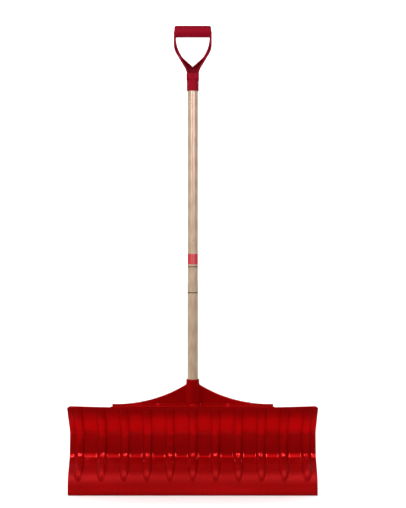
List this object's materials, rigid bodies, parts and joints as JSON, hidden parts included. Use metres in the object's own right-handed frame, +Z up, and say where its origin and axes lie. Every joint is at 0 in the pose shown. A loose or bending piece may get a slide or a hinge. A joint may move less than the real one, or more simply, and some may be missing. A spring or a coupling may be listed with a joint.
{
  "type": "snow shovel",
  "caption": "Push-type snow shovel with a wide ribbed curved plastic blade, a straight round wooden shaft and a plastic D-grip.",
  "frame": {"origin": "on the ground plane of the blade's scraping edge, below the middle of the shovel's width and depth", "axes": "+Z up the shaft from the blade to the grip, +X across the blade, -Y out of the blade's hollow working face"},
  "size_m": [0.762, 0.0876, 1.439],
  "materials": {
    "blade_plastic": "glossy moulded red",
    "shaft_wood": "clear satin lacquer over pale straight-grained wood, with a painted red band",
    "grip_plastic": "satin moulded crimson",
    "screw_zinc": "bright zinc plate"
  },
  "bodies": {
    "root": {"blade": "blade_plastic", "shaft": "shaft_wood", "d_grip": "grip_plastic", "grip_screw": "screw_zinc", "socket_screw_upper": "screw_zinc", "socket_screw_lower": "screw_zinc"}
  },
  "joints": []
}
